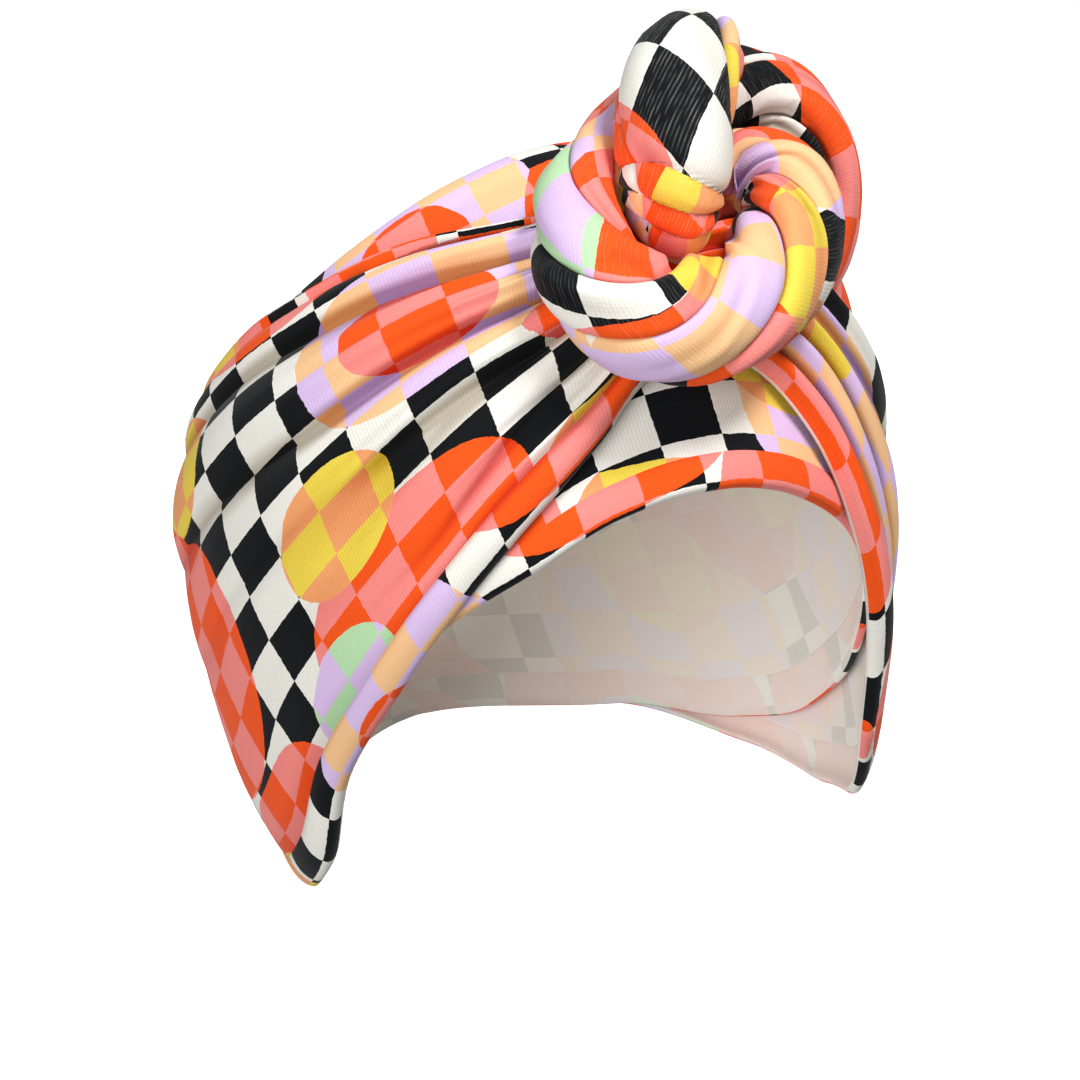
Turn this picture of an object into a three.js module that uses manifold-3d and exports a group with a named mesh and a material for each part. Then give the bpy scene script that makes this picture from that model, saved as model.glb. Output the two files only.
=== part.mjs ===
// A wrap headband of printed cotton jersey, in the form it has when worn: a smooth base band round the
// head, a gathered wrap band over it, and a coiled knot with a tucked tail above the forehead.
//
// Millimetres. The origin is the middle of the cranium inside the band. +Z is up, the wearer looks along
// -Y, and the wearer's right is -X. All cloth is placed on a hood of directions from the origin:
// "round" is the angle along the band, 0 over the forehead and +-180 at the nape, positive to the
// wearer's left, and "rise" is the angle across the band, from its lower hem (minus) to its upper (plus).

import * as THREE from "three";
import Module from "manifold-3d";

const wasm = await Module();
wasm.setup();

// ---- driving sizes

const CRANIUM = { x: 76, y: 97, z: 104 }; // half sizes of the head, 547 mm round
const FACE = { x: 71, y: 82, z: 74, forward: 8, down: 46 }; // half sizes and place of the face below it
const NECK = { x: 56, y: 60, back: 10, reach: 170 };
const BAND_TILT = 45; // the band's middle plane leans back from upright by this many degrees

const BASE_INNER = 0.5; // how far each face of the cloth stands off the head
const BASE_OUTER = 2.7;
const WRAP_INNER = 3.7;
const WRAP_WALL = 2.4;
const NEIGHBOUR_GAP = 0.35; // kept where the knot lies in the wrap, and the tail in the coil

const ROUND_STEPS = 58;
const ROUND_CROWDING = 1.2; // above 1 the steps are closer together near the knot
const BASE_ROWS = 8;
const STEPS_PER_FOLD_SIDE = 2;
const FOLD_ROUNDNESS = 0.85; // under 1 gives round crests and sharp gaps

// ---- where the hems run, by degrees round the head: rise of each hem, and the wrap's slack in mm

const HEMS = [
  { round: -150, baseLow: -18, baseTop: 52, wrapLow: -15, wrapTop: 49.5, slack: 3 },
  { round: -125, baseLow: -34, baseTop: 52, wrapLow: -36, wrapTop: 48, slack: 5 },
  { round: -108, baseLow: -36.5, baseTop: 50, wrapLow: -38.5, wrapTop: 46, slack: 6 },
  { round: -87, baseLow: -31, baseTop: 48, wrapLow: -33.5, wrapTop: 43, slack: 6 },
  { round: -66, baseLow: -26, baseTop: 45.5, wrapLow: -28.8, wrapTop: 40.2, slack: 5 },
  { round: -47, baseLow: -22, baseTop: 43, wrapLow: -21.8, wrapTop: 35, slack: 3.5 },
  { round: -30, baseLow: -19.5, baseTop: 42, wrapLow: -14, wrapTop: 30, slack: 2.5 },
  { round: -16, baseLow: -16.5, baseTop: 42, wrapLow: -6.5, wrapTop: 24, slack: 2 },
  { round: -8, baseLow: -16, baseTop: 42.5, wrapLow: -1, wrapTop: 22, slack: 1 },
  { round: 0, baseLow: -16.5, baseTop: 43, wrapLow: 2, wrapTop: 20, slack: 0.5 },
  { round: 8, baseLow: -18, baseTop: 43.5, wrapLow: -2, wrapTop: 21, slack: 1 },
  { round: 16, baseLow: -20.5, baseTop: 44, wrapLow: -11, wrapTop: 24, slack: 2 },
  { round: 26, baseLow: -24, baseTop: 44.5, wrapLow: -26, wrapTop: 28, slack: 2.2 },
  { round: 42, baseLow: -31, baseTop: 45, wrapLow: -43, wrapTop: 33, slack: 1.8 },
  { round: 60, baseLow: -38, baseTop: 46, wrapLow: -55, wrapTop: 38, slack: 1.5 },
  { round: 80, baseLow: -41, baseTop: 48, wrapLow: -58, wrapTop: 42, slack: 1.5 },
  { round: 108, baseLow: -38, baseTop: 50, wrapLow: -49, wrapTop: 46, slack: 2.5 },
  { round: 130, baseLow: -29, baseTop: 51, wrapLow: -32, wrapTop: 48, slack: 4 },
  { round: 150, baseLow: -16, baseTop: 52, wrapLow: -15, wrapTop: 49.5, slack: 3 },
  { round: 180, baseLow: -6, baseTop: 52.5, wrapLow: -3, wrapTop: 50, slack: 2 },
];

// ---- the wrap's folds, from its lower hem to its upper one. at is the fold's place across the cloth
// (0 low hem, 1 top hem) at the stops PLACE_STOPS round the head, and the last holds from there on.
// left and right are its height in mm at the stops HEIGHT_STOPS, and back its height at the nape.

const PLACE_STOPS = [12, 45, 90];
const HEIGHT_STOPS = [12, 30, 55, 90];
const FOLDS = [
  { name: "low edge", at: [0, 0, 0], left: [0.6, 0.4, 0.2, 0], right: [0.6, 0.4, 0.2, 0], back: 0 },
  { name: "low hem", at: [0.075, 0.06, 0.035], left: [3, 2.6, 2, 1.6], right: [3.2, 2.8, 2.2, 1.6], back: 1.2 },
  { name: "gap 1", at: [0.14, 0.1, 0.07], left: [1.2, 0.6, 0.3, 0.3], right: [1.2, 0.6, 0.3, 0.3], back: 0.3 },
  { name: "fold 1", at: [0.22, 0.14, 0.16], left: [4, 1.5, 0.3, 0.3], right: [4, 1.5, 0.3, 0.3], back: 0.3 },
  { name: "gap 2", at: [0.3, 0.17, 0.24], left: [2, 0.5, 0.3, 0.3], right: [2, 0.5, 0.3, 0.3], back: 0.3 },
  { name: "fold 2", at: [0.37, 0.22, 0.33], left: [6.5, 3.5, 0.4, 0.3], right: [6.5, 3.5, 0.6, 0.3], back: 0.3 },
  { name: "gap 3", at: [0.43, 0.44, 0.44], left: [2.5, 1, 0.3, 0.3], right: [2.5, 1, 0.3, 0.3], back: 0.3 },
  { name: "fold 3", at: [0.515, 0.52, 0.53], left: [8.5, 7, 3.4, 1.4], right: [8.5, 6, 3, 1.2], back: 0.6 },
  { name: "gap 4", at: [0.6, 0.6, 0.63], left: [1.5, 0.5, 0.5, 0.6], right: [1.5, 0.5, 0.5, 0.3], back: 0.3 },
  { name: "fold 4", at: [0.68, 0.7, 0.73], left: [9, 8, 6, 4.2], right: [9, 6.5, 5, 3], back: 1 },
  { name: "gap 5", at: [0.77, 0.84, 0.84], left: [3.4, 2, 1.2, 1.2], right: [3.4, 2, 1.2, 1], back: 0.5 },
  { name: "fold 5", at: [0.845, 0.89, 0.89], left: [9, 7, 4.8, 3.4], right: [8, 6.5, 4.2, 2.6], back: 0.8 },
  { name: "gap 6", at: [0.925, 0.955, 0.95], left: [3.4, 2.4, 1.6, 1], right: [3.4, 2.4, 1.4, 1], back: 0.4 },
  { name: "top hem", at: [0.96, 0.975, 0.975], left: [6, 5, 3.4, 2.4], right: [6, 5, 3.4, 2.2], back: 1.4 },
  { name: "top edge", at: [1, 1, 1], left: [2, 1.2, 0.6, 0], right: [2, 1.2, 0.6, 0], back: 0 },
];
const UNDER_KNOT = 0.3; // share of its height that a fold keeps where the knot presses on it

// ---- the knot, in a frame of its own: right, up along the head, and out from it

const KNOT_MIDDLE = new THREE.Vector3(5, -69, 98);
const KNOT_OUT = new THREE.Vector3(0.02, -0.66, 0.75).normalize();

const COIL = [
  { right: 7.5, up: -3.5, out: -14.5, radius: 5.5 }, // leaves the gathers
  { right: 14.5, up: -7, out: -17, radius: 6 },
  { right: 25, up: -7, out: -19, radius: 7.5 },
  { right: 36, up: 1.5, out: -18, radius: 9.8 },
  { right: 44.5, up: 15, out: -16.5, radius: 11.7 }, // outer turn, up the wearer's left
  { right: 47, up: 28.5, out: -13.5, radius: 13 },
  { right: 42.5, up: 39.5, out: -11.5, radius: 13 },
  { right: 31, up: 45.5, out: -11, radius: 11.8 },
  { right: 13, up: 44, out: -11.5, radius: 10.5 }, // behind the tail
  { right: -9, up: 31, out: -7.5, radius: 9.8 },
  { right: -25.5, up: 17, out: -3, radius: 10.3 }, // inner turn, down the wearer's right
  { right: -31, up: 0, out: 0, radius: 11.8 },
  { right: -25, up: -13, out: 1, radius: 12.8 },
  { right: -12, up: -17.5, out: 1.5, radius: 13.3 }, // lowest, over the forehead
  { right: 4, up: -15, out: 2.8, radius: 12.8 },
  { right: 19, up: -3.5, out: 3.2, radius: 12 },
  { right: 25.5, up: 10, out: 2.5, radius: 11.4 },
  { right: 22.5, up: 19.5, out: -2, radius: 9.8 },
  { right: 15.5, up: 22, out: -8, radius: 8 }, // ends in the hole
];
const TAIL = [
  { right: -2.5, up: 9, out: -9, radius: 8.5 }, // out of the hole
  { right: -6.5, up: 9.5, out: 2, radius: 11.8 },
  { right: -6, up: 17.5, out: 10.5, radius: 13.2 },
  { right: -1.5, up: 29.5, out: 13.5, radius: 13.5 }, // the broad tongue
  { right: 5.5, up: 39, out: 12.5, radius: 12.6 },
  { right: 15, up: 46.5, out: 7.5, radius: 11.2 }, // folds over the top
  { right: 22.5, up: 50, out: 1.5, radius: 9.3 },
];
const ROPE = { lobes: 4, lobeDepth: 0.2, sides: 16 };
const COIL_STEPS = 50;
const COIL_TWIST = -2.25; // turns along the rope, seen along it
const TAIL_STEPS = 18;
const TAIL_TWIST = -0.25;

const CLOTH = { orange: 0xff5a10, black: 0x15181b, salmon: 0xfa8280, peach: 0xf8b078 };

// ---- curves through the tables

const radians = THREE.MathUtils.degToRad;

// Slope at each knot of a curve through (xs, ys): steady keeps the curve inside its knots' heights.
function slopes(xs, ys, steady) {
  const last = xs.length - 1;
  const step = xs.slice(1).map((x, i) => x - xs[i]);
  const rate = step.map((h, i) => (ys[i + 1] - ys[i]) / h);
  return xs.map((_, i) => {
    if (i === 0) return rate[0];
    if (i === last) return rate[last - 1];
    const [a, b, h, k] = [rate[i - 1], rate[i], step[i - 1], step[i]];
    if (!steady) return (a * k + b * h) / (h + k);
    if (a * b <= 0) return 0;
    const [wa, wb] = [2 * k + h, k + 2 * h];
    return (wa + wb) / (wa / a + wb / b);
  });
}

// A function that gives the smooth curve through (xs, ys).
function curve(xs, ys, steady = true) {
  const tangents = slopes(xs, ys, steady);
  return (x) => {
    let i = 0;
    while (i < xs.length - 2 && x >= xs[i + 1]) i += 1;
    const h = xs[i + 1] - xs[i];
    const t = (x - xs[i]) / h;
    const [t2, t3] = [t * t, t * t * t];
    return (
      (2 * t3 - 3 * t2 + 1) * ys[i] +
      (t3 - 2 * t2 + t) * h * tangents[i] +
      (3 * t2 - 2 * t3) * ys[i + 1] +
      (t3 - t2) * h * tangents[i + 1]
    );
  };
}

// The same, where xs are degrees round the head and the curve closes on itself.
function ring(xs, ys) {
  const laps = [-360, 0, 360];
  return curve(
    laps.flatMap((lap) => xs.map((x) => x + lap)),
    laps.flatMap(() => ys),
  );
}

// ---- the head's form and the hood of directions on it

const tiltSin = Math.sin(radians(BAND_TILT));
const tiltCos = Math.cos(radians(BAND_TILT));
const SIDE = new THREE.Vector3(1, 0, 0);
const FRONT = new THREE.Vector3(0, -tiltSin, tiltCos);
const CROWN = new THREE.Vector3(0, tiltCos, tiltSin);

// How far a ray from the origin runs before it leaves an ellipsoid moved by shift.
function rayThrough(ray, half, shift) {
  const a = (ray.x / half.x) ** 2 + (ray.y / half.y) ** 2 + (ray.z / half.z) ** 2;
  const b = (ray.y * shift.y) / half.y ** 2 + (ray.z * shift.z) / half.z ** 2;
  const c = (shift.y / half.y) ** 2 + (shift.z / half.z) ** 2 - 1;
  return (b + Math.sqrt(b * b - a * c)) / a;
}

function headRadius(ray) {
  const cranium = rayThrough(ray, CRANIUM, { y: 0, z: 0 });
  const face = rayThrough(ray, FACE, { y: -FACE.forward, z: -FACE.down });
  const upright = { x: ray.x, y: ray.y, z: 0 };
  const column = { x: NECK.x, y: NECK.y, z: 1 };
  const straight = Math.min(rayThrough(upright, column, { y: NECK.back, z: 0 }), NECK.reach);
  const neck = straight * Math.sqrt(THREE.MathUtils.clamp(-ray.z, 0.02, 1));
  const blend = 14; // the larger of the three, with its edges smoothed
  return (cranium ** blend + face ** blend + neck ** blend) ** (1 / blend);
}

// The point at these angles that stands off the head by off mm.
function onHood(round, rise, off) {
  const [r, l] = [radians(round), radians(rise)];
  const ray = new THREE.Vector3()
    .addScaledVector(FRONT, Math.cos(l) * Math.cos(r))
    .addScaledVector(SIDE, Math.cos(l) * Math.sin(r))
    .addScaledVector(CROWN, Math.sin(l));
  return ray.clone().multiplyScalar(headRadius(ray) + off);
}

const hem = (name) => ring(HEMS.map((row) => row.round), HEMS.map((row) => row[name]));
const baseLow = hem("baseLow");
const baseTop = hem("baseTop");
const wrapLow = hem("wrapLow");
const wrapTop = hem("wrapTop");
const slack = hem("slack");

// Degrees round the head of each column of the bands, closer together near the knot.
const COLUMNS = Array.from({ length: ROUND_STEPS }, (_, i) => {
  const t = (2 * i) / ROUND_STEPS - 1;
  return 180 * Math.sign(t) * Math.abs(t) ** ROUND_CROWDING;
});

// ---- closed meshes

function closedMesh(points, faces) {
  const geometry = new THREE.BufferGeometry();
  const numbers = points.flatMap((p) => [p.x, p.y, p.z]);
  geometry.setAttribute("position", new THREE.Float32BufferAttribute(numbers, 3));
  geometry.setIndex(faces);
  return geometry;
}

// A loop of closed sections: sections[i][j] joins the next section, and the last one joins the first.
function hoop(sections) {
  const across = sections[0].length;
  const faces = [];
  sections.forEach((_, i) => {
    const [here, next] = [i * across, ((i + 1) % sections.length) * across];
    for (let j = 0; j < across; j += 1) {
      const k = (j + 1) % across;
      faces.push(here + j, next + j, here + k, next + j, next + k, here + k);
    }
  });
  return closedMesh(sections.flat(), faces);
}

// A row of closed sections with a fan over each end.
function rod(sections) {
  const across = sections[0].length;
  const faces = [];
  for (let i = 0; i < sections.length - 1; i += 1) {
    for (let j = 0; j < across; j += 1) {
      const k = (j + 1) % across;
      const [here, next] = [i * across, (i + 1) * across];
      faces.push(here + j, here + k, next + j, next + j, here + k, next + k);
    }
  }
  const points = sections.flat();
  const middle = (section) =>
    section.reduce((sum, p) => sum.add(p), new THREE.Vector3()).multiplyScalar(1 / section.length);
  const [first, last] = [points.length, points.length + 1];
  points.push(middle(sections[0]), middle(sections[sections.length - 1]));
  const end = (sections.length - 1) * across;
  for (let j = 0; j < across; j += 1) {
    const k = (j + 1) % across;
    faces.push(first, k, j, last, end + j, end + k);
  }
  return closedMesh(points, faces);
}

// ---- the bands

function baseBand(grow = 0) {
  return hoop(
    COLUMNS.map((round) => {
      const [low, top] = [baseLow(round), baseTop(round)];
      const rises = Array.from({ length: BASE_ROWS + 1 }, (_, j) => low + ((top - low) * j) / BASE_ROWS);
      const face = (off) => rises.map((rise) => onHood(round, rise, off));
      return [...face(BASE_OUTER + grow), ...face(BASE_INNER - grow).reverse()];
    }),
  );
}

// The same stops on the other side of the knot, in rising order.
const leftOf = (stops) => stops.map((stop) => -stop).reverse();

// For each fold, functions of the degrees round the head that give its place across and its height.
const foldCurves = FOLDS.map((fold) => {
  const places = [...fold.at].reverse().concat(fold.at, fold.at.at(-1));
  const under = (UNDER_KNOT * (fold.left[0] + fold.right[0])) / 2;
  const heights = [...fold.left].reverse().concat(under, fold.right, fold.back);
  return {
    place: ring([...leftOf(PLACE_STOPS), ...PLACE_STOPS, 180], places),
    height: ring([...leftOf(HEIGHT_STOPS), 0, ...HEIGHT_STOPS, 180], heights),
  };
});

// The wrap's outer face at this angle: a row of { rise, off } from the low hem to the top hem.
function wrapProfile(round) {
  const [low, top] = [wrapLow(round), wrapTop(round)];
  const knots = foldCurves.map((fold) => ({ place: fold.place(round), height: fold.height(round) }));
  const profile = [];
  knots.forEach((knot, i) => {
    const next = knots[i + 1];
    const steps = next ? STEPS_PER_FOLD_SIDE : 1;
    for (let s = 0; s < steps; s += 1) {
      const t = s / steps;
      const up = next && FOLDS[i + 1].left[0] > FOLDS[i].left[0];
      const ease = up
        ? Math.sin((t * Math.PI) / 2) ** FOLD_ROUNDNESS
        : 1 - Math.sin(((1 - t) * Math.PI) / 2) ** FOLD_ROUNDNESS;
      const place = next ? knot.place + (next.place - knot.place) * t : 1;
      const height = next ? knot.height + (next.height - knot.height) * ease : knot.height;
      const swell = slack(round) * Math.sin(Math.PI * THREE.MathUtils.clamp(place, 0, 1)) ** 0.6;
      profile.push({ rise: low + (top - low) * place, off: WRAP_INNER + WRAP_WALL + height + swell });
    }
  });
  return profile;
}

function wrapBand(grow = 0) {
  return hoop(
    COLUMNS.map((round) => {
      const profile = wrapProfile(round);
      const outer = profile.map(({ rise, off }) => onHood(round, rise, off + grow));
      const inner = profile.map(({ rise, off }, j) => {
        const a = Math.max(j - 1, 0);
        const b = Math.min(j + 1, profile.length - 1);
        const run = onHood(round, profile[a].rise, off).distanceTo(onHood(round, profile[b].rise, off));
        const slope = (profile[b].off - profile[a].off) / Math.max(run, 0.1);
        const wall = WRAP_WALL * Math.min(Math.hypot(1, slope), 2);
        return onHood(round, rise, Math.max(WRAP_INNER, off - wall) - grow);
      });
      return [...outer, ...inner.reverse()];
    }),
  );
}

// ---- the knot

const KNOT_RIGHT = SIDE.clone().addScaledVector(KNOT_OUT, -KNOT_OUT.x).normalize();
const KNOT_UP = new THREE.Vector3().crossVectors(KNOT_OUT, KNOT_RIGHT);

// A twisted rope of cloth along the table's rows, lobed where its folds show.
function rope(rows, steps, twist, upright, grow = 0) {
  const knots = rows.map((_, i) => i);
  const column = (name) => curve(knots, rows.map((row) => row[name]), false);
  const [right, up, out, radius] = [column("right"), column("up"), column("out"), column("radius")];
  const at = (s) =>
    KNOT_MIDDLE.clone()
      .addScaledVector(KNOT_RIGHT, right(s))
      .addScaledVector(KNOT_UP, up(s))
      .addScaledVector(KNOT_OUT, out(s));
  const sections = [];
  for (let i = 0; i <= steps; i += 1) {
    const s = ((rows.length - 1) * i) / steps;
    const along = at(s + 0.01).sub(at(s - 0.01)).normalize();
    const first = upright.clone().addScaledVector(along, -upright.dot(along)).normalize();
    const second = new THREE.Vector3().crossVectors(along, first);
    const turned = (2 * Math.PI * twist * i) / steps;
    const section = [];
    for (let j = 0; j < ROPE.sides; j += 1) {
      const side = (2 * Math.PI * j) / ROPE.sides;
      const angle = side + turned;
      const lobe = 1 - ROPE.lobeDepth * (1 - Math.abs(Math.cos((ROPE.lobes * side) / 2)));
      const reach = radius(s) * lobe + grow;
      section.push(
        at(s)
          .addScaledVector(first, reach * Math.cos(angle))
          .addScaledVector(second, reach * Math.sin(angle)),
      );
    }
    sections.push(section);
  }
  return rod(sections);
}

// ---- cutting one piece clear of another

function solid(geometry) {
  return new wasm.Manifold(
    new wasm.Mesh({
      numProp: 3,
      vertProperties: new Float32Array(geometry.attributes.position.array),
      triVerts: new Uint32Array(geometry.index.array),
    }),
  );
}

// geometry without what lies in the cutters; loose slivers are dropped.
function clearOf(geometry, cutters) {
  const cut = cutters.reduce((left, cutter) => left.subtract(solid(cutter)), solid(geometry));
  const [largest] = cut.decompose().sort((a, b) => b.volume() - a.volume());
  const { vertProperties, triVerts } = largest.getMesh();
  const result = new THREE.BufferGeometry();
  result.setAttribute("position", new THREE.Float32BufferAttribute(vertProperties, 3));
  result.setIndex([...triVerts]);
  return result;
}

// ---- the scene

const coil = (grow) => rope(COIL, COIL_STEPS, COIL_TWIST, KNOT_OUT, grow);
const tail = rope(TAIL, TAIL_STEPS, TAIL_TWIST, KNOT_RIGHT);

const pieces = [
  ["base_band", baseBand(), CLOTH.salmon],
  ["wrap_band", wrapBand(), CLOTH.orange],
  ["knot_coil", clearOf(coil(0), [wrapBand(NEIGHBOUR_GAP), baseBand(NEIGHBOUR_GAP)]), CLOTH.peach],
  ["knot_tail", clearOf(tail, [coil(NEIGHBOUR_GAP), wrapBand(NEIGHBOUR_GAP)]), CLOTH.black],
];

const headband = new THREE.Group();
for (const [name, geometry, color] of pieces) {
  const cloth = new THREE.MeshStandardMaterial({ color, roughness: 0.85, metalness: 0 });
  const mesh = new THREE.Mesh(geometry, cloth);
  mesh.name = name;
  headband.add(mesh);
}

export default headband;
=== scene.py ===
"""Looks of the wrap headband: printed jersey bands, gathers, rolled hems and the coiled knot.

Lengths are worked out in millimetres, as in the CAD model, and meshes are made in metres.
"""

import math

import bpy
import numpy as np
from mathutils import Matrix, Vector


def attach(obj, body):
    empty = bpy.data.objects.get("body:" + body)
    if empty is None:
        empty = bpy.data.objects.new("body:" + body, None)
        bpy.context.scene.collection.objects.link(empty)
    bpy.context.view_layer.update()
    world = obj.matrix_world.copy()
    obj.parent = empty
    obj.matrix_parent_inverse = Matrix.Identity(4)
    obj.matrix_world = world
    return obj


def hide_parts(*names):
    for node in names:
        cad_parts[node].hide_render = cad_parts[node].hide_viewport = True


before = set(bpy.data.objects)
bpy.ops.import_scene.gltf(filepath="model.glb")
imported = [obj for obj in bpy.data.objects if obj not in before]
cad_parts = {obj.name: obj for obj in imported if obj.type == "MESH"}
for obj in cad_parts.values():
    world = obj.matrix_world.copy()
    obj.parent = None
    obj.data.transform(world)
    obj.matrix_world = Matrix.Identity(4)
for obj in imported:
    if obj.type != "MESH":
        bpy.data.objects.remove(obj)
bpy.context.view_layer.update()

MM = 0.001

# ---------------------------------------------------------------- driving sizes

CRANIUM = (76, 97, 104)  # half sizes of the head that the band is stretched over
FACE = (71, 82, 74)
FACE_MIDDLE = (0, -8, -46)
NECK = (56, 60)
NECK_BACK = 10
NECK_REACH = 170
NECK_LEAST = 0.02  # least share of the way down that still counts as neck
HEAD_BLEND = 14  # power that joins the three forms; the higher, the sharper
BAND_TILT = math.radians(45)

BASE_INNER, BASE_OUTER = 0.5, 2.7
WRAP_INNER, WRAP_WALL = 3.7, 2.4
HEM_WIDTH = 9.5
BASE_CLOTH_WIDTH = 118  # flat widths of the two bands, hem to hem
WRAP_CLOTH_WIDTH = 148
NAPE_SEAM = 0.8  # depth of the groove where each band is joined at the nape

# Degrees round the head, rise of each hem in degrees, and the wrap's slack in mm.
HEM_COLUMNS = ("round", "base_low", "base_top", "wrap_low", "wrap_top", "slack")
HEMS = (
    (-150, -18, 52, -15, 49.5, 3),
    (-125, -34, 52, -36, 48, 5),
    (-108, -36.5, 50, -38.5, 46, 6),
    (-87, -31, 48, -33.5, 43, 6),
    (-66, -26, 45.5, -28.8, 40.2, 5),
    (-47, -22, 43, -21.8, 35, 3.5),
    (-30, -19.5, 42, -14, 30, 2.5),
    (-16, -16.5, 42, -6.5, 24, 2),
    (-8, -16, 42.5, -1, 22, 1),
    (0, -16.5, 43, 2, 20, 0.5),
    (8, -18, 43.5, -2, 21, 1),
    (16, -20.5, 44, -11, 24, 2),
    (26, -24, 44.5, -26, 28, 2.2),
    (42, -31, 45, -43, 33, 1.8),
    (60, -38, 46, -55, 38, 1.5),
    (80, -41, 48, -58, 42, 1.5),
    (108, -38, 50, -49, 46, 2.5),
    (130, -29, 51, -32, 48, 4),
    (150, -16, 52, -15, 49.5, 3),
    (180, -6, 52.5, -3, 50, 2),
)

# Each fold's places across the cloth at PLACE_STOPS degrees, its heights at HEIGHT_STOPS degrees on the
# wearer's right and left, and its height at the nape.
PLACE_STOPS = (12, 45, 90)
HEIGHT_STOPS = (12, 30, 55, 90)
FOLDS = (
    # name, places, heights right, heights left, back
    ("low edge", (0, 0, 0), (0.6, 0.4, 0.2, 0), (0.6, 0.4, 0.2, 0), 0),
    ("low hem", (0.075, 0.06, 0.035), (3, 2.6, 2, 1.6), (3.2, 2.8, 2.2, 1.6), 1.2),
    ("gap 1", (0.14, 0.1, 0.07), (1.2, 0.6, 0.3, 0.3), (1.2, 0.6, 0.3, 0.3), 0.3),
    ("fold 1", (0.22, 0.14, 0.16), (4, 1.5, 0.3, 0.3), (4, 1.5, 0.3, 0.3), 0.3),
    ("gap 2", (0.3, 0.17, 0.24), (2, 0.5, 0.3, 0.3), (2, 0.5, 0.3, 0.3), 0.3),
    ("fold 2", (0.37, 0.22, 0.33), (6.5, 3.5, 0.4, 0.3), (6.5, 3.5, 0.6, 0.3), 0.3),
    ("gap 3", (0.43, 0.44, 0.44), (2.5, 1, 0.3, 0.3), (2.5, 1, 0.3, 0.3), 0.3),
    ("fold 3", (0.515, 0.52, 0.53), (8.5, 7, 3.4, 1.4), (8.5, 6, 3, 1.2), 0.6),
    ("gap 4", (0.6, 0.6, 0.63), (1.5, 0.5, 0.5, 0.6), (1.5, 0.5, 0.5, 0.3), 0.3),
    ("fold 4", (0.68, 0.7, 0.73), (9, 8, 6, 4.2), (9, 6.5, 5, 3), 1),
    ("gap 5", (0.77, 0.84, 0.84), (3.4, 2, 1.2, 1.2), (3.4, 2, 1.2, 1), 0.5),
    ("fold 5", (0.845, 0.89, 0.89), (9, 7, 4.8, 3.4), (8, 6.5, 4.2, 2.6), 0.8),
    ("gap 6", (0.925, 0.955, 0.95), (3.4, 2.4, 1.6, 1), (3.4, 2.4, 1.4, 1), 0.4),
    ("top hem", (0.96, 0.975, 0.975), (6, 5, 3.4, 2.4), (6, 5, 3.4, 2.2), 1.4),
    ("top edge", (1, 1, 1), (2, 1.2, 0.6, 0), (2, 1.2, 0.6, 0), 0),
)
UNDER_KNOT = 0.3
FOLD_ROUNDNESS = 0.85

# The knot's own frame, and the rope's rows in it: right, up along the head, out, radius.
KNOT_MIDDLE = np.array([5.0, -69.0, 98.0])
KNOT_AXIS = np.array([0.02, -0.66, 0.75])
COIL = (
    (7.5, -3.5, -14.5, 5.5),
    (14.5, -7, -17, 6),
    (25, -7, -19, 7.5),
    (36, 1.5, -18, 9.8),
    (44.5, 15, -16.5, 11.7),
    (47, 28.5, -13.5, 13),
    (42.5, 39.5, -11.5, 13),
    (31, 45.5, -11, 11.8),
    (13, 44, -11.5, 10.5),
    (-9, 31, -7.5, 9.8),
    (-25.5, 17, -3, 10.3),
    (-31, 0, 0, 11.8),
    (-25, -13, 1, 12.8),
    (-12, -17.5, 1.5, 13.3),
    (4, -15, 2.8, 12.8),
    (19, -3.5, 3.2, 12),
    (25.5, 10, 2.5, 11.4),
    (22.5, 19.5, -2, 9.8),
    (15.5, 22, -8, 8),
)
TAIL = (
    (-2.5, 9, -9, 8.5),
    (-6.5, 9.5, 2, 11.8),
    (-6, 17.5, 10.5, 13.2),
    (-1.5, 29.5, 13.5, 13.5),
    (5.5, 39, 12.5, 12.6),
    (15, 46.5, 7.5, 11.2),
    (22.5, 50, 1.5, 9.3),
)
# Turns of the cloth about the rope, by the share of its length.
COIL_TURNS = ((0, 0), (0.3, -0.35), (0.5, -0.75), (0.7, -1.45), (1, -2.55))
TAIL_TURNS = ((0, 0), (1, -0.3))

# The folds of cloth round the rope: share of a turn, depth of the crease before it as a share of the
# radius, and where its print is cut from, along and across the cloth in mm.
COIL_LOBES = (
    (0.29, 0.17, 0, 0),
    (0.22, 0.24, 61, 35),
    (0.28, 0.15, 147, 12),
    (0.21, 0.22, 96, 77),
)
TAIL_LOBES = (
    (0.14, 0.3, 133, 40),
    (0.36, 0.16, 20, 96),
    (0.5, 0.08, 52, 8),
)
TAIL_START = 0.12  # share of a turn where the tail's first fold starts
COIL_SLANT, TAIL_SLANT = 0, -50  # degrees of the print to the folds
ROPE_ROUND = 80  # mm of cloth round the rope

# The lips stacked across the foot of the tail.
LIPS_END = 0.27  # share of the tail's length
LIP_COUNT, LIP_WIDTH, LIP_DEPTH, LIP_STEP = 5, 4.8, 2.5, 0.6

CHECK = 14.0  # side of one printed square
KNIT_PITCH = 0.85
PRINT_STRETCH = 1.1  # the cloth is stretched by this much along the bands
LARGE_PEBBLES_AT = (523.0, 17.0, 0.0)  # the print's own layout
SMALL_PEBBLES_AT = (331.0, 277.0, 0.0)
NO_STRIP = 1000.0

# ---------------------------------------------------------------- curves and noise

HASH_X, HASH_Y, HASH_SEED, HASH_SIZE = 127.1, 311.7, 74.7, 43758.5453  # any large, unrelated numbers


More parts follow.
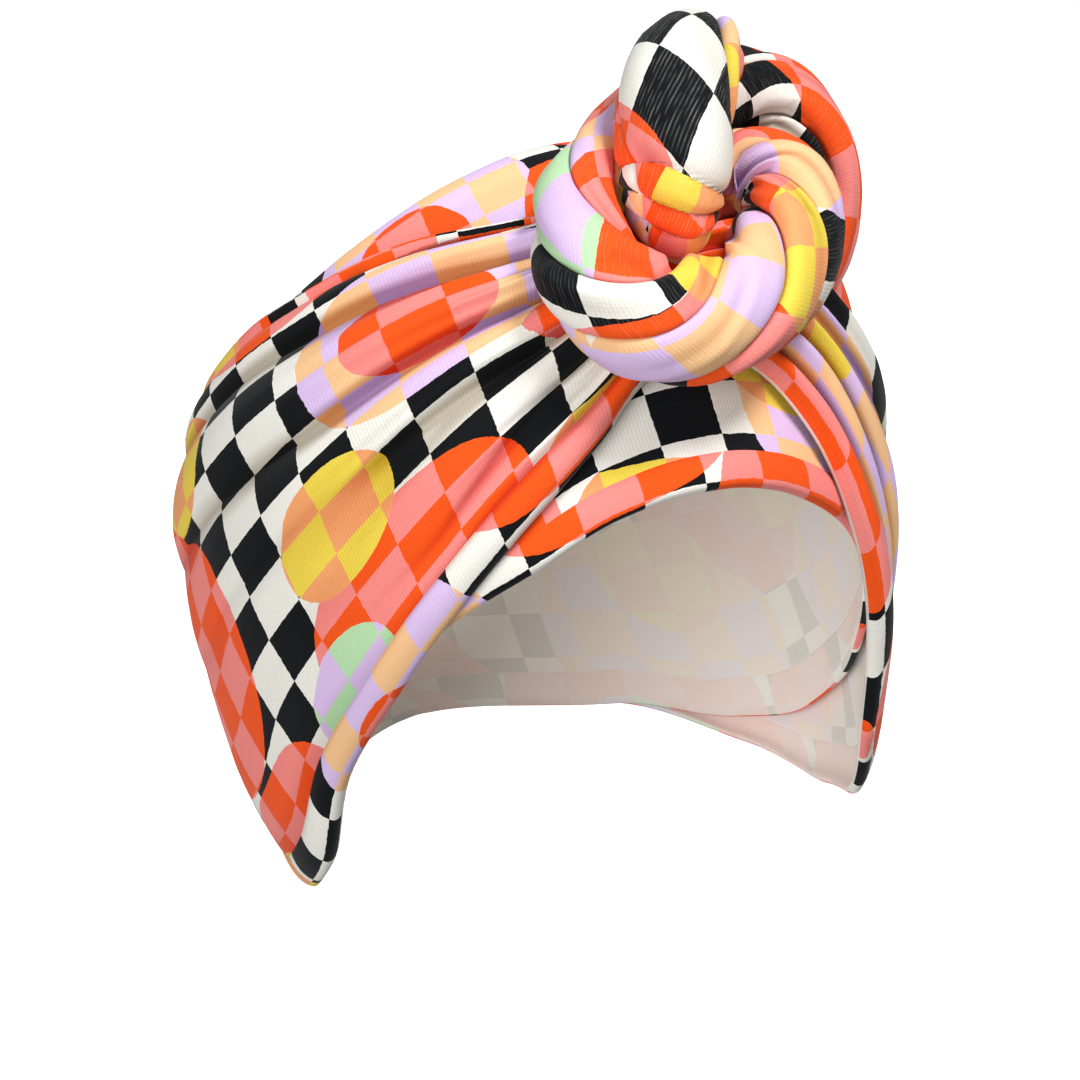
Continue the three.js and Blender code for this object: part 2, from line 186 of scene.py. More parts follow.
def slopes(x, y, steady):
    """The slope of the curve at each x. A steady curve never swings past its rows."""
    step = np.diff(x)[:, None]
    rate = np.diff(y, axis=0) / step
    before, after = rate[:-1], rate[1:]
    out = np.empty_like(y)
    out[0], out[-1] = rate[0], rate[-1]
    if steady:
        wb, wa = 2 * step[1:] + step[:-1], step[1:] + 2 * step[:-1]
        same = before * after > 0
        safe_b, safe_a = np.where(same, before, 1), np.where(same, after, 1)
        out[1:-1] = np.where(same, (wb + wa) / (wb / safe_b + wa / safe_a), 0)
    else:
        out[1:-1] = (before * step[1:] + after * step[:-1]) / (step[1:] + step[:-1])
    return out


def curve(x, y, at, steady=True):
    """The smooth curve through the columns of y at x, read at the numbers at."""
    x, y, at = (np.asarray(v, float) for v in (x, y, at))
    y = y.reshape(len(x), -1)
    tangent = slopes(x, y, steady)
    i = np.clip(np.searchsorted(x, at, side="right") - 1, 0, len(x) - 2)
    h = (x[i + 1] - x[i])[..., None]
    t = (at - x[i])[..., None] / h
    rise = t * t * (3 - 2 * t)
    lean = t * (1 - t)
    return (
        y[i] * (1 - rise)
        + y[i + 1] * rise
        + lean * h * ((1 - t) * tangent[i] - t * tangent[i + 1])
    )


def ring(x, y, at):
    """The same, where x and at are degrees round the head."""
    x, y = np.asarray(x, float), np.asarray(y, float).reshape(len(x), -1)
    return curve(np.concatenate([x - 360, x, x + 360]), np.concatenate([y, y, y]), at)


def noise(x, y, seed=0):
    """Smooth noise from -1 to 1 on a unit lattice."""

    def corner(i, j):
        v = np.sin(i * HASH_X + j * HASH_Y + seed * HASH_SEED) * HASH_SIZE
        return 2 * (v - np.floor(v)) - 1

    i, j = np.floor(x), np.floor(y)
    u, v = x - i, y - j
    u, v = u * u * (3 - 2 * u), v * v * (3 - 2 * v)
    low = corner(i, j) * (1 - u) + corner(i + 1, j) * u
    high = corner(i, j + 1) * (1 - u) + corner(i + 1, j + 1) * u
    return low * (1 - v) + high * v


def unit(v):
    return v / np.linalg.norm(v, axis=-1, keepdims=True)


# ---------------------------------------------------------------- the head and the hood on it

SIDE = np.array([1.0, 0, 0])
FRONT = np.array([0, -math.sin(BAND_TILT), math.cos(BAND_TILT)])
CROWN = np.array([0, math.cos(BAND_TILT), math.sin(BAND_TILT)])


def ray_through(ray, half, middle):
    """How far along each ray from the origin it leaves the ellipsoid with these half sizes."""
    half, middle = np.array(half, float), np.array(middle, float)
    a = (ray**2 / half**2).sum(-1)
    b = (ray * middle / half**2).sum(-1)
    c = (middle**2 / half**2).sum() - 1
    return (b + np.sqrt(b * b - a * c)) / a


def head_radius(ray):
    """The head's size along each ray: cranium, face and neck, smoothly joined."""
    cranium = ray_through(ray, CRANIUM, (0, 0, 0))
    face = ray_through(ray, FACE, FACE_MIDDLE)
    level = ray[..., :2] + 1e-9  # a ray straight up has no level part of its own
    straight = np.minimum(ray_through(level, NECK, (0, NECK_BACK)), NECK_REACH)
    neck = straight * np.sqrt(np.clip(-ray[..., 2], NECK_LEAST, 1))
    return (cranium**HEAD_BLEND + face**HEAD_BLEND + neck**HEAD_BLEND) ** (1 / HEAD_BLEND)


def on_hood(around, rise, off):
    """Points at these degrees that stand off the head by off mm."""
    a, r = np.radians(around)[..., None], np.radians(rise)[..., None]
    ray = np.cos(r) * (np.cos(a) * FRONT + np.sin(a) * SIDE) + np.sin(r) * CROWN
    return ray * (head_radius(ray) + off)[..., None]


def hem(name, around):
    """A column of HEMS, read at these degrees."""
    rows = np.array(HEMS, float)
    return ring(rows[:, 0], rows[:, HEM_COLUMNS.index(name)], around)[..., 0]


def columns(count, crowding):
    """Degrees round the head, closer together at the knot."""
    t = np.arange(count) * 2 / count - 1
    return 180 * np.sign(t) * np.abs(t) ** crowding


def along_band(around, rise):
    """Cloth coordinate along a band: mm from the nape over the wearer's right, at this rise."""
    points = on_hood(np.append(around, 180), np.append(rise, rise[:1]), 0)
    steps = np.linalg.norm(np.diff(points, axis=0), axis=1)
    return np.concatenate([[0], np.cumsum(steps)])


# ---------------------------------------------------------------- meshes


def new_mesh(name, points_mm, faces, maps, marks, material):
    """A smooth mesh. maps gives (u, v) of each corner of each face, by name of the UV map, and marks a
    number for each point, by name of the attribute that the material reads."""
    mesh = bpy.data.meshes.new(name)
    mesh.from_pydata((points_mm * MM).tolist(), [], faces)
    for map_name, corners in maps.items():
        layer = mesh.uv_layers.new(name=map_name)
        layer.uv.foreach_set("vector", np.asarray(corners, np.float32).ravel())
    for mark_name, values in marks.items():
        mark = mesh.attributes.new(mark_name, "FLOAT", "POINT")
        mark.data.foreach_set("value", values.astype(np.float32))
    mesh.shade_smooth()
    mesh.materials.append(material)
    piece = bpy.data.objects.new(name, mesh)
    bpy.context.collection.objects.link(piece)
    return piece


def grid(cols, rows):
    """Column and row of the four corners of each quad of a grid."""
    i, j = (v.ravel() for v in np.meshgrid(np.arange(cols), np.arange(rows), indexing="ij"))
    return [(i, j), (i + 1, j), (i + 1, j + 1), (i, j + 1)]


def at_corners(values, corners):
    return np.stack([values[i, j] for i, j in corners], 1)


def patch(cols, rows, u_range, v_range):
    """(u, v) over a grid of points that fills this part of the UV square."""
    u, v = np.meshgrid(np.linspace(*u_range, cols), np.linspace(*v_range, rows), indexing="ij")
    return np.stack([u, v], -1)


# Where the faces of a band lie in the UV square of the baked maps.
BAKE_LENGTH, BAKE_OUTER, BAKE_INNER = (0.002, 0.998), (0.01, 0.6), (0.63, 0.93)
BAKE_RIMS = ((0.95, 0.96), (0.98, 0.99))


# Finds the hollows of folds, where the materials paint shade.
def hollow(height, reach, depth):
    """How deep in a fold each point [column, row] lies, from 0 to 1 at depth mm below the mean of its
    neighbours reach rows away."""
    low, high = np.roll(height, reach, axis=1), np.roll(height, -reach, axis=1)
    return np.clip(((low + high) / 2 - height) / depth, 0, 1)


def band_shell(name, outer, inner, cloth_outer, cloth_inner, painted_shade, material):
    """A closed band. outer and inner are points [column, row] of the two faces of the cloth, and
    cloth_outer and cloth_inner their cloth coordinates, with one more column that closes the ring.
    The last argument says how deep in a fold each point of outer lies, for the shade painted there."""
    count, rows_out = outer.shape[:2]
    rows_in = inner.shape[1]
    start = count * rows_out
    number_out = np.arange(start).reshape(count, rows_out)
    number_in = start + np.arange(count * rows_in).reshape(count, rows_in)
    number_out, number_in = (np.concatenate([n, n[:1]]) for n in (number_out, number_in))
    rims = ((0, False), (-1, True))  # row of each rim, and whether its faces turn the other way

    def skin(values_out, values_in, rim_values):
        parts = [at_corners(values_out, grid(count, rows_out - 1))]
        parts.append(at_corners(values_in, grid(count, rows_in - 1)[::-1]))
        for (row, turn), rim in zip(rims, rim_values or (None, None)):
            pair = np.stack([values_out[:, row], values_in[:, row]], 1) if rim is None else rim
            corners = grid(count, 1)
            parts.append(at_corners(pair, corners if turn else corners[::-1]))
        return np.concatenate(parts)

    faces = skin(number_out, number_in, None)
    cloth = skin(cloth_outer, cloth_inner, None)
    bake = skin(
        patch(count + 1, rows_out, BAKE_LENGTH, BAKE_OUTER),
        patch(count + 1, rows_in, BAKE_LENGTH, BAKE_INNER),
        [patch(count + 1, 2, BAKE_LENGTH, rim) for rim in BAKE_RIMS],
    )
    points = np.concatenate([outer.reshape(-1, 3), inner.reshape(-1, 3)])
    marks = {
        "inside": (np.arange(len(points)) >= start).astype(float),
        "painted_shade": np.concatenate([painted_shade.ravel(), np.zeros(count * rows_in)]),
    }
    return new_mesh(name, points, faces.tolist(), {"cloth": cloth * MM, "OFBake": bake}, marks, material)


# ---------------------------------------------------------------- the bands

BASE_COLUMNS, BASE_ROWS, BASE_INNER_ROWS = 300, 64, 32
WRAP_COLUMNS, WRAP_STEPS, WRAP_INNER_ROWS = 420, 12, 40  # steps are those from one fold row to the next
BASE_CROWDING, WRAP_CROWDING = 1.1, 1.35  # above 1, the columns are closer together at the knot
BASE_EDGE_ROWS = (0, 0.002, 0.005, 0.01, 0.016, 0.024)  # shares of the width, close to each edge
WRAP_EDGE_CROWDING = 1.6
EDGE_RADIUS = 1.6  # of the round edges
EDGE_SINK = 1.4  # how far the wrap's outer face sinks at its edges
EDGE_FULLNESS = 0.98  # keeps the slope of a round edge finite
SEAM_SPREAD = 1.1  # degrees on each side of the nape
BASE_SINK, BASE_ROLL = 0.6, 1.1  # the cloth between the base band's hems, and the roll of each hem
BASE_STRAIN, STRAIN_ACROSS, STRAIN_ALONG = 0.35, 7, 70  # height and sizes of the strain lines
SWELL_FULLNESS = 0.6  # the lower, the sooner the slack cloth stands out from the edges
KNOT_HALF_ANGLE, GATHER_REACH = 12, 24  # degrees: gathers fade over the second beyond the first
GATHER_FADE, GATHER_LEAST, GATHER_LIFT = 0.5, 0.04, 0.15
GATHER_HEIGHTS = (1.7, 0.8)
GATHER_SIZES = ((9, 80), (5, 45))  # across and along, in mm
GATHER_SHARPNESS = 2.4
GATHER_DEEPEST = 1.6
DRAPE_HEIGHT, DRAPE_ACROSS, DRAPE_ALONG = 0.8, 38, 75
# The shade painted into the wrap's folds: rows apart that are compared, depth in mm for full shade, and least
# share away from the edges.
BAND_SHADE_ROWS, BAND_SHADE_DEPTH, BAND_SHADE_FROM = 8, 2.2, 0.4
LEAST_RUN, LEAST_COSINE = 0.05, 0.25  # limits for steep walls


def rim_dip(across_mm, width_mm, radius):
    """How far the outer face sinks near its two edges, so that each edge is round."""
    near = np.minimum(across_mm, width_mm - across_mm)
    t = np.clip(1 - near / radius, 0, 1)
    return radius * (1 - np.sqrt(1 - t * t * EDGE_FULLNESS))


def nape_groove(around):
    return NAPE_SEAM * np.exp(-(((180 - np.abs(around)) / SEAM_SPREAD) ** 2))[:, None]


def make_base_band(material):
    around = columns(BASE_COLUMNS, BASE_CROWDING)
    low, top = hem("base_low", around), hem("base_top", around)
    v = np.linspace(0, 1, BASE_ROWS)
    edge = np.array(BASE_EDGE_ROWS)
    v = np.unique(np.concatenate([edge, v[2:-2], 1 - edge]))
    rise = low[:, None] + (top - low)[:, None] * v
    across = v * BASE_CLOTH_WIDTH
    lane = np.minimum(across, BASE_CLOTH_WIDTH - across)
    roll = BASE_ROLL * np.sqrt(np.clip(1 - ((lane - HEM_WIDTH / 2) / (HEM_WIDTH / 2)) ** 2, 0, 1))
    s = along_band(around, (low + top) / 2)
    ease = 0.5 + 0.5 * np.cos(np.radians(around))[:, None]
    strain = BASE_STRAIN * ease * noise(across / STRAIN_ACROSS, s[:-1, None] / STRAIN_ALONG, seed=3)
    off = BASE_OUTER - BASE_SINK + roll + strain - nape_groove(around)
    off = off - rim_dip(across, BASE_CLOTH_WIDTH, EDGE_RADIUS)
    outer = on_hood(around[:, None], rise, off)
    inner_v = np.linspace(0, 1, BASE_INNER_ROWS)
    inner_rise = low[:, None] + (top - low)[:, None] * inner_v
    inner = on_hood(around[:, None], inner_rise, BASE_INNER)
    cloth_outer = np.stack(np.meshgrid(s, across, indexing="ij"), -1)
    cloth_inner = np.stack(np.meshgrid(s, inner_v * BASE_CLOTH_WIDTH, indexing="ij"), -1)
    # no shade is painted on the base band
    painted_shade = np.zeros(off.shape)
    return band_shell("base_band_cloth", outer, inner, cloth_outer, cloth_inner, painted_shade, material)


def fold_rows(around):
    """Place and height of every fold at these degrees, as [column, fold]."""
    places, heights = [], []
    for _, across, right, left, back in FOLDS:
        stops = [-s for s in PLACE_STOPS[::-1]] + list(PLACE_STOPS) + [180]
        places.append(ring(stops, [*across[::-1], *across, across[-1]], around)[..., 0])
        stops = [-s for s in HEIGHT_STOPS[::-1]] + [0] + list(HEIGHT_STOPS) + [180]
        under = UNDER_KNOT * (right[0] + left[0]) / 2
        heights.append(ring(stops, [*right[::-1], under, *left, back], around)[..., 0])
    return np.stack(places, -1), np.stack(heights, -1)


def make_wrap_band(material):
    around = columns(WRAP_COLUMNS, WRAP_CROWDING)
    fold_place, fold_height = fold_rows(around)
    place, height, row_of = [], [], {}
    for i in range(len(FOLDS) - 1):
        up = FOLDS[i + 1][2][0] > FOLDS[i][2][0]
        row_of[FOLDS[i][0]] = len(place)
        for step in range(WRAP_STEPS):
            t = step / WRAP_STEPS
            if i == 0:
                t = t**WRAP_EDGE_CROWDING
            if i == len(FOLDS) - 2:
                t = 1 - (1 - t) ** WRAP_EDGE_CROWDING
            if up:
                ease = math.sin(t * math.pi / 2) ** FOLD_ROUNDNESS
            else:
                ease = 1 - math.sin((1 - t) * math.pi / 2) ** FOLD_ROUNDNESS
            place.append(fold_place[:, i] * (1 - t) + fold_place[:, i + 1] * t)
            height.append(fold_height[:, i] * (1 - ease) + fold_height[:, i + 1] * ease)
    place.append(fold_place[:, -1])
    height.append(fold_height[:, -1])
    place, height = np.stack(place, -1), np.stack(height, -1)
    low, top = hem("wrap_low", around)[:, None], hem("wrap_top", around)[:, None]
    slack = hem("slack", around)[:, None]
    rise = low + (top - low) * place
    swell = slack * np.sin(np.pi * np.clip(place, 0, 1)) ** SWELL_FULLNESS
    flat = on_hood(around[:, None], rise, WRAP_INNER + WRAP_WALL + height + swell)
    steps = np.linalg.norm(np.diff(flat, axis=1), axis=2)
    arc = np.concatenate([np.zeros((len(around), 1)), np.cumsum(steps, 1)], 1)

    # cloth coordinate across: the hems keep their width, and the cloth between follows the folds
    a, b = row_of["gap 1"], row_of["gap 6"]
    across = np.empty_like(arc)
    across[:, : a + 1] = HEM_WIDTH * arc[:, : a + 1] / arc[:, a : a + 1]
    middle = (arc[:, a : b + 1] - arc[:, a : a + 1]) / (arc[:, b : b + 1] - arc[:, a : a + 1])
    across[:, a : b + 1] = HEM_WIDTH + (WRAP_CLOTH_WIDTH - 2 * HEM_WIDTH) * middle
    rest = (arc[:, b:] - arc[:, b : b + 1]) / (arc[:, -1:] - arc[:, b : b + 1])
    across[:, b:] = WRAP_CLOTH_WIDTH - HEM_WIDTH + HEM_WIDTH * rest

    s = along_band(around, ((low + top) / 2)[:, 0])
    along = s[:-1, None]
    toward_knot = np.exp(-np.clip(np.abs(around[:, None]) - KNOT_HALF_ANGLE, 0, None) / GATHER_REACH)
    gathers = 0
    for seed, (gather_height, (wide, long)) in enumerate(zip(GATHER_HEIGHTS, GATHER_SIZES), 1):
        ridges = 1 - GATHER_SHARPNESS * np.abs(noise(across / wide, along / long, seed))
        gathers = gathers + gather_height * ridges
    between = np.sin(np.pi * np.clip(place, 0, 1)) ** GATHER_FADE
    crease = between * (GATHER_LEAST + toward_knot) * gathers
    drape = DRAPE_HEIGHT * between * noise(across / DRAPE_ACROSS, along / DRAPE_ALONG, seed=7)
    off = WRAP_INNER + WRAP_WALL + height * (1 + GATHER_LIFT * toward_knot) + swell
    off = off + np.maximum(crease, -GATHER_DEEPEST) + drape - nape_groove(around)
    edge = np.minimum(arc, arc[:, -1:] - arc)
    round_edge = np.clip(1 - edge / EDGE_RADIUS, 0, 1)
    off = off - EDGE_SINK * (1 - np.sqrt(1 - EDGE_FULLNESS * round_edge**2))
    outer = on_hood(around[:, None], rise, off)
    # painted shade: the print is darkened deep in the wrap's folds
    painted_shade = hollow(off, BAND_SHADE_ROWS, BAND_SHADE_DEPTH) * (between > BAND_SHADE_FROM)

    run = np.linalg.norm(np.gradient(outer, axis=1), axis=2)
    slope = np.abs(np.gradient(off, axis=1)) / np.maximum(run, LEAST_RUN)
    wall = WRAP_WALL * np.clip(1 / np.sqrt(np.clip(1 - slope**2, LEAST_COSINE, 1)), 1, 2)
    pick = np.unique(np.round(np.linspace(0, place.shape[1] - 1, WRAP_INNER_ROWS + 1)).astype(int))
    inner_off = np.maximum(WRAP_INNER, (WRAP_INNER + WRAP_WALL + height + swell - wall)[:, pick])
    inner = on_hood(around[:, None], rise[:, pick], inner_off)
    across = np.concatenate([across, across[:1]], 0)
    cloth_outer = np.stack(np.broadcast_arrays(s[:, None], across), -1)
    cloth_inner = cloth_outer[:, pick]
    return band_shell("wrap_band_cloth", outer, inner, cloth_outer, cloth_inner, painted_shade, material)


# ---------------------------------------------------------------- the knot

KNOT_OUT = unit(KNOT_AXIS)
KNOT_RIGHT = unit(SIDE - KNOT_OUT[0] * KNOT_OUT)
KNOT_UP = np.cross(KNOT_OUT, KNOT_RIGHT)
COIL_SECTIONS, TAIL_SECTIONS, LOBE_STEPS = 700, 420, 32
LOBE_CROWDING = 0.12  # how much closer together a fold's points are beside its creases
ROPE_SWELL = 1.03  # the scene's rope is a little fuller than the solid's, for its creases
BEND_SCALE = 25  # mm: the radius of bend at which the inner side counts as fully pressed
CREASE_MEAN, CREASE_CHANGE, CREASE_LENGTH = 0.85, 0.45, 21
CREASES_APART, WRINKLES_APART, LUMPS_APART = 3.7, 9, 5  # give each fold its own stretch of the noise
CREASE_INWARD = 0.7  # how much deeper a crease is on the inner side of a bend
FOLD_RISE, FOLD_SLOPE, FOLD_SLOPE_POWER, FOLD_END = 0.3, 0.5, 1.6, 0.035  # a fold's profile
COIL_WRINKLE, TAIL_WRINKLE = 1.1, 0.4
WRINKLE_SHARPNESS, WRINKLE_ACROSS, WRINKLE_ALONG = 2.6, 5.5, 34
WRINKLE_MEAN, WRINKLE_INWARD = 0.55, 1.4
LUMP_HEIGHT, LUMP_ACROSS, LUMP_ALONG = 0.9, 13, 19
STILL_POWER = 0.7  # wrinkles and lumps fade toward the creases
CAP_LENGTH, CAP_LEAST = 0.6, 0.002  # round ends, as a share of the radius
# The shade painted into the rope's creases: steps apart that are compared, and depth in mm for full shade.
ROPE_SHADE_STEPS, ROPE_SHADE_DEPTH = 4, 1.2
ROPE_BAKE_LENGTH, ROPE_BAKE_MARGIN = (0.01, 0.92), 0.01
END_BAKE_RADIUS, END_BAKE_FIRST, END_BAKE_LAST = 0.03, (0.96, 0.1), (0.96, 0.3)
END_CLOTH_RADIUS = 8
LIP_SLANT, LIP_SLANT_FROM = 3.4, math.radians(195)  # the lips' lower edges lean round the rope
LIP_NARROWING, LIP_HINGE_FROM = 0.3, math.radians(210)
LIP_WAVE, LIP_WAVE_ROUND, LIP_WAVE_DOWN = 0.12, 1.3, 0.9
LIP_ROLL, LIP_TAPER = 0.45, 0.3
TONGUE_EDGE = 4.5  # mm over which the tongue's lower edge is round


def nose(x, width):
    """A quarter round, from 0 up to 1 at width."""
    return np.sqrt(1 - (1 - np.clip(x / width, 0, 1)) ** 2)


def lips(span, end, angle):
    """How many lips of cloth down from the foot of the tongue each point is, and its height."""
    hinge = 1 - LIP_NARROWING + LIP_NARROWING * np.cos(angle - LIP_HINGE_FROM)
    down = (end + LIP_SLANT * np.cos(angle - LIP_SLANT_FROM) - span) / (LIP_WIDTH * hinge)
    down = down + LIP_WAVE * noise(angle * LIP_WAVE_ROUND, down * LIP_WAVE_DOWN, seed=9)
    number = np.clip(np.floor(down) + 1, 0, LIP_COUNT)
    part = np.clip(number - down, 0, 1)
    roll = nose(part, LIP_ROLL) * (1 - LIP_TAPER * part**2)
    tongue_edge = nose(-down * LIP_WIDTH * hinge, TONGUE_EDGE)
    height = np.where(number > 0, roll - 1, tongue_edge - 1) * LIP_DEPTH - LIP_STEP * number
    return down, height


def rope(name, rows, count, turns, upright, lobes, first_lobe, slant, wrinkled, foot, material):
    """A twisted rope of folded cloth. Each lobe is one fold, with its own part of the print."""
    rows = np.array(rows, float)
    at = np.linspace(0, len(rows) - 1, count)
    path = curve(np.arange(len(rows)), rows, at, steady=False)
    middle = KNOT_MIDDLE + path[:, :1] * KNOT_RIGHT + path[:, 1:2] * KNOT_UP + path[:, 2:3] * KNOT_OUT
    along = unit(np.gradient(middle, axis=0))
    first = unit(upright - (along @ upright)[:, None] * along)
    second = np.cross(along, first)
    span = np.concatenate([[0], np.cumsum(np.linalg.norm(np.diff(middle, axis=0), axis=1))])
    bend = np.gradient(along, axis=0) / np.gradient(span)[:, None] * BEND_SCALE
    share = np.linspace(0, 1, count)
    turn = curve([r[0] for r in turns], [r[1] for r in turns], share)[:, 0]
    radius = path[:, 3]

    # across the folds: LOBE_STEPS points on each, closer together beside the creases
    u = np.linspace(0, 1, LOBE_STEPS + 1)
    x = u - LOBE_CROWDING * np.sin(2 * np.pi * u)
    steep = np.arctan(ROPE_ROUND * np.abs(np.gradient(turn, span)))[:, None]
    lean = math.copysign(1, turn[-1])
    run = np.concatenate([[0], np.cumsum(np.diff(span) / np.cos(steep[1:, 0]))])[:, None]
    tilt = math.radians(slant)
    depths = []
    for k, (_, depth, _, _) in enumerate(lobes):
        change = noise(span[:, None] / CREASE_LENGTH, np.full((1, 1), CREASES_APART * k), seed=4)
        depths.append(depth * (CREASE_MEAN + CREASE_CHANGE * change))
    slope = 1 - FOLD_SLOPE * np.clip((x - FOLD_RISE) / (1 - FOLD_RISE), 0, 1) ** FOLD_SLOPE_POWER
    fold = nose(x, FOLD_RISE) * slope * (1 - np.exp(-(1 - x) / FOLD_END))
    still = np.sin(np.pi * x) ** STILL_POWER
    near_end = np.minimum(span, span[-1] - span)
    past_cap = np.clip(1 - near_end / (CAP_LENGTH * radius), 0, 1)
    cap = np.sqrt(np.clip(1 - past_cap**2, CAP_LEAST, 1))
    start = first_lobe
    columns_xyz, columns_down, columns_reach, columns_cloth, columns_bake = [], [], [], [], []
    for k, (width, _, from_s, from_t) in enumerate(lobes):
        side = start + width * x[None, :]
        angle = 2 * np.pi * (side + turn[:, None])
        outward = np.cos(angle)[..., None] * first[:, None] + np.sin(angle)[..., None] * second[:, None]
        inward = np.clip((outward * bend[:, None]).sum(-1), 0, 1)
        here, there = depths[k], depths[(k + 1) % len(lobes)]
        crease = (here * (1 - x) + there * x) * (1 + CREASE_INWARD * inward)
        across = width * ROPE_ROUND * x[None, :]
        s = run + lean * across * np.sin(steep)
        t = across * np.cos(steep)
        wrinkle_t = t / WRINKLE_ACROSS + WRINKLES_APART * k
        ridges = 1 - WRINKLE_SHARPNESS * np.abs(noise(wrinkle_t, s / WRINKLE_ALONG, seed=5))
        wrinkle = wrinkled * ridges * (WRINKLE_MEAN + WRINKLE_INWARD * inward)
        lump = LUMP_HEIGHT * noise(t / LUMP_ACROSS + LUMPS_APART * k, s / LUMP_ALONG, seed=6)
        reach = radius[:, None] * ROPE_SWELL * (1 - crease * (1 - fold)) + still * (wrinkle + lump)
        cut_s, cut_t = s + from_s, t + from_t
        down = np.full(s.shape, -1.0)
        if foot:
            down, height = lips(span[:, None], LIPS_END * span[-1], angle)
            reach = reach + height
        columns_down.append(down[:, :-1])
        reach = reach * cap[:, None]
        columns_xyz.append(middle[:, None] + reach[..., None] * outward)
        columns_reach.append(reach[:, :-1])
        turned_s = cut_s * math.cos(tilt) - cut_t * math.sin(tilt)
        turned_t = cut_s * math.sin(tilt) + cut_t * math.cos(tilt)
        columns_cloth.append(np.stack([turned_s, turned_t], -1))
        lane = (k / len(lobes) + ROPE_BAKE_MARGIN, (k + 1) / len(lobes) - ROPE_BAKE_MARGIN)
        columns_bake.append(patch(count, LOBE_STEPS + 1, ROPE_BAKE_LENGTH, lane))
        start += width

    sides = LOBE_STEPS * len(lobes)
    points = np.concatenate([c[:, :-1] for c in columns_xyz], 1)
    number = np.arange(count * sides).reshape(count, sides)
    number = np.concatenate([number, number[:, :1]], 1)
    corners = grid(count - 1, sides)[::-1]
    faces = at_corners(number, corners).tolist()
    faces += [number[0, :-1].tolist()[::-1], number[-1, :-1].tolist()]
    lobe_corners = grid(count - 1, LOBE_STEPS)[::-1]

    def whole(parts, ends):
        """Corner values in the order of faces, from the values of each lobe."""
        quads = np.stack([at_corners(p, lobe_corners).reshape(count - 1, LOBE_STEPS, 4, 2) for p in parts], 1)
        return np.concatenate([quads.reshape(-1, 2), *ends])

    fan = np.linspace(0, 2 * np.pi, sides, endpoint=False)
    disc = np.stack([np.cos(fan), np.sin(fan)], -1) * END_BAKE_RADIUS
    flat = np.stack([np.cos(fan), np.sin(fan)], -1) * END_CLOTH_RADIUS
    maps = {
        "cloth": whole(columns_cloth, [flat[::-1], flat]) * MM,
        "OFBake": whole(columns_bake, [disc[::-1] + END_BAKE_FIRST, disc + END_BAKE_LAST]),
    }
    marks = {
        "inside": np.zeros(count * sides),
        # painted shade in the rope's creases
        "painted_shade": hollow(np.concatenate(columns_reach, 1), ROPE_SHADE_STEPS, ROPE_SHADE_DEPTH).ravel(),
        "lip": np.concatenate(columns_down, 1).ravel(),
    }
    return new_mesh(name, points.reshape(-1, 3), faces, maps, marks, material)


# ---------------------------------------------------------------- materials


def linear(hex_colour):
    """The shader's colour for a colour as a screen shows it."""
    parts = [int(hex_colour[i : i + 2], 16) / 255 for i in (0, 2, 4)]
    return tuple(c / 12.92 if c <= 0.04045 else ((c + 0.055) / 1.055) ** 2.4 for c in parts) + (1.0,)


BLACK, CREAM = linear("0A0D11"), linear("F3F0E7")
ORANGE, SALMON = linear("FA5714"), linear("FB8D86")
LAVENDER, PEACH = linear("E0C4EE"), linear("FBC893")
YELLOW, APRICOT = linear("F2D64E"), linear("F7A66B")
MINT = linear("BCE3B2")
# Shade painted deep in folds: the tint it darkens the colour towards, and its strength.
PAINTED_SHADE_TINT = (0.5, 0.45, 0.4, 1.0)
PAINTED_SHADE_STRENGTH = 0.85  # strength of the shade painted deep in a fold
INK_SHOWS = 0.16  # share of the print's colour on the wrong side

# The hem strips and the lips show the print this far away, along and across, in mm.
STRIP_AWAY = (3.5 * CHECK, 8 * CHECK - 2)
LIP_AWAY = (37.0, 23.0)

HALF_A_SQUARE_UP = (0.0, 0.0, 0.5)  # keeps the flat print off a border between two layers of squares
WOBBLE_SCALE, WOBBLE = 0.6, 0.6  # of the print's edges, in 1/mm and mm
LARGE_CELL, LARGE_REACH, LARGE_SHAPE = 76.0, 0.44, 2.6
SMALL_CELL, SMALL_REACH, SMALL_SHAPE = 50.0, 0.34, 2.2
PEBBLE_SCATTER = 0.75
LAVENDER_FROM, YELLOW_UNDER, MINT_FROM = 0.68, 0.5, 0.93  # of each patch's own tone, from 0 to 1
SMALL_LEFT_OUT = 0.35  # share of the small patches that are left out

COIL_GRIN, TAIL_GRIN = 0.12, 0.26  # how much of the white yarn shows through the dark ink
FIBRE_OVER, FIBRE_ALONG = 1.1, 0.22  # scale of the yarns' noise, in 1/mm
YARN_FROM, YARN_CONTRAST, YARN_WIDTH = 0.4, 3.0, -1.5
LOOP_LENGTH, LOOP_DEPTH = 0.85, 0.25  # of the knit's pitch, and of a rib
FUZZ_SCALE, CLOUD_SCALE = 1.3, 0.04  # in 1/mm
TINT_BASE, TINT_KNIT, TINT_FUZZ, TINT_CLOUD = 0.86, 0.07, 0.12, 0.06
GROOVE_HALF_WIDTH = 0.7  # of the seam along each hem, in mm
RELIEF_KNIT, RELIEF_FUZZ = 0.3, 0.35
BUMP_STRENGTH, BUMP_HEIGHT = 0.5, 0.3
ROUGHNESS, ROUGHNESS_KNIT = 0.88, -0.1
SPECULAR, SHEEN, SHEEN_ROUGHNESS = 0.16, 0.06, 0.5


